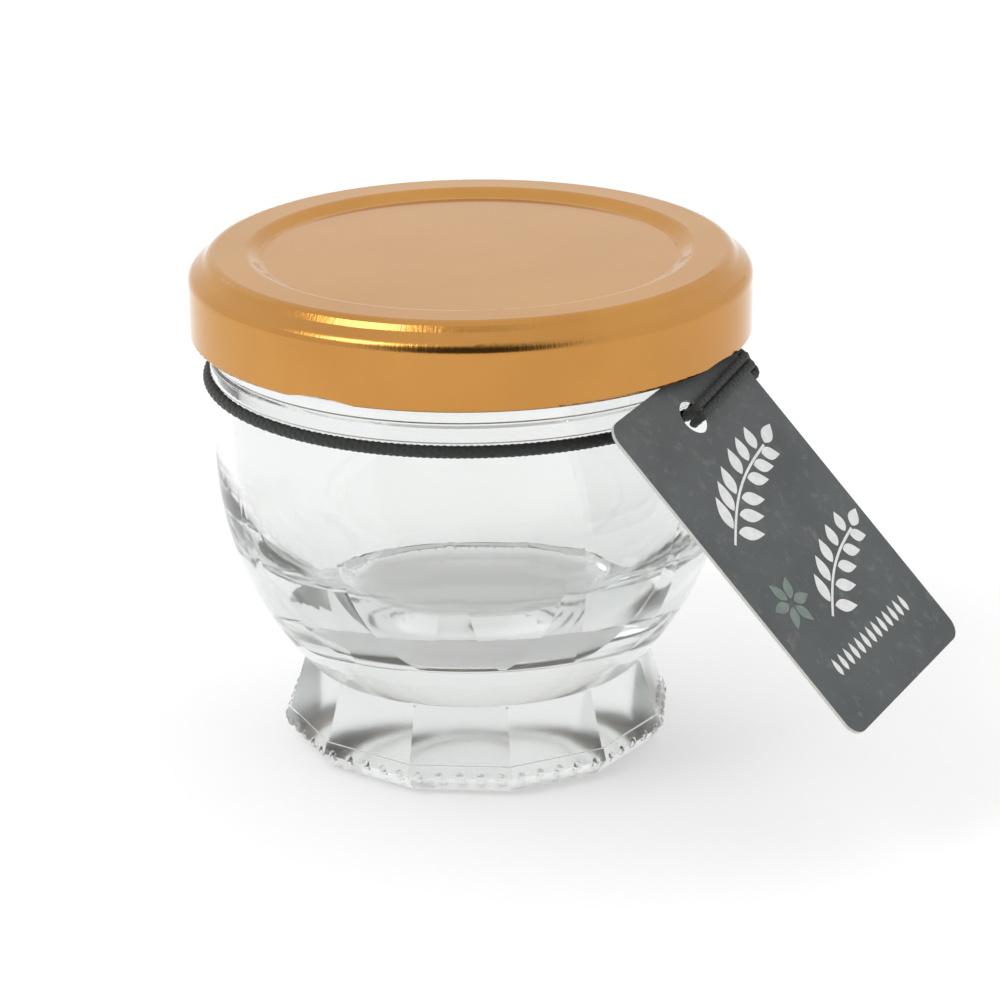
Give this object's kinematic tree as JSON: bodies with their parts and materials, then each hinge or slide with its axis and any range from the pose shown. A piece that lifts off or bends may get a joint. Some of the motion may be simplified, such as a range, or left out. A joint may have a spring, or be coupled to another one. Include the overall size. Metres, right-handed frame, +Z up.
{
  "type": "small glass jar with lid",
  "caption": "Small empty clear-glass jar with a round bowl and a flared panelled foot, closed by a twist-off metal lid, with an elastic cord round the neck that holds a swing tag.",
  "frame": {"origin": "centre of the foot on the plane it stands on", "axes": "+Z up along the jar's axis, -Y towards the front, +X towards the side where the tag hangs"},
  "size_m": [0.0876, 0.0794, 0.06],
  "materials": {
    "clear_glass": "clear, colourless soda-lime glass",
    "copper_lacquer": "copper-gold lacquered tinplate, satin to glossy",
    "seal_compound": "pale sealing compound, matt",
    "black_elastic": "black woven elastic cord",
    "tag_card": "dark grey printed card, matt"
  },
  "bodies": {
    "root": {"jar": "clear_glass", "lid": "copper_lacquer", "lid_seal": "seal_compound", "elastic": "black_elastic", "tag": "tag_card"}
  },
  "joints": []
}
